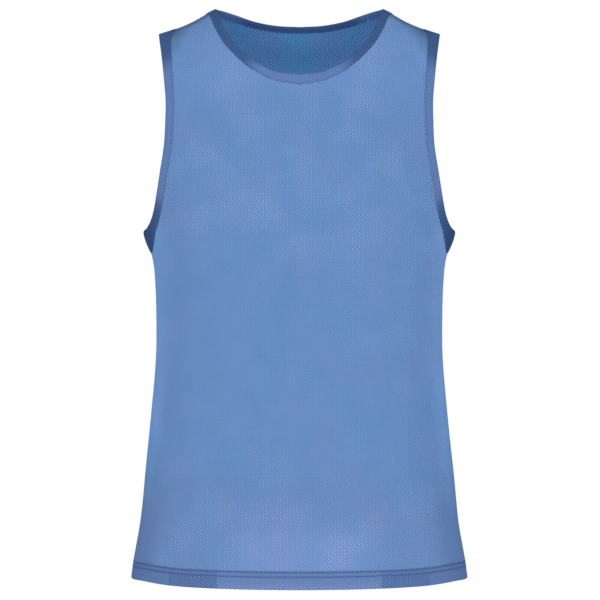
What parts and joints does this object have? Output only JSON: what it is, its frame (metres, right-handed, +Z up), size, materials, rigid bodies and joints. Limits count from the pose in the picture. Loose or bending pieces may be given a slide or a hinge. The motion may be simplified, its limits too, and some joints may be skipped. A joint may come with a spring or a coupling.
{
  "type": "mesh training bib",
  "caption": "Sleeveless pull-on training bib of see-through net, with knit tape round the neck and armholes and a turned-up stitched hem, open as if filled out.",
  "frame": {"origin": "midway between the two points where the neck opening meets the shoulder seams, where the wearer's shoulders carry the bib", "axes": "+Z up from the hem to the shoulders, +X to the wearer's left, and the front faces -Y"},
  "size_m": [0.4044, 0.2432, 0.704],
  "materials": {
    "net_cloth": "blue warp-knit polyester net with small staggered holes",
    "knit_tape": "close blue interlock knit tape"
  },
  "bodies": {
    "root": {"front_panel": "net_cloth", "back_panel": "net_cloth", "neck_binding": "knit_tape", "armhole_binding_left": "knit_tape", "armhole_binding_right": "knit_tape"}
  },
  "joints": []
}
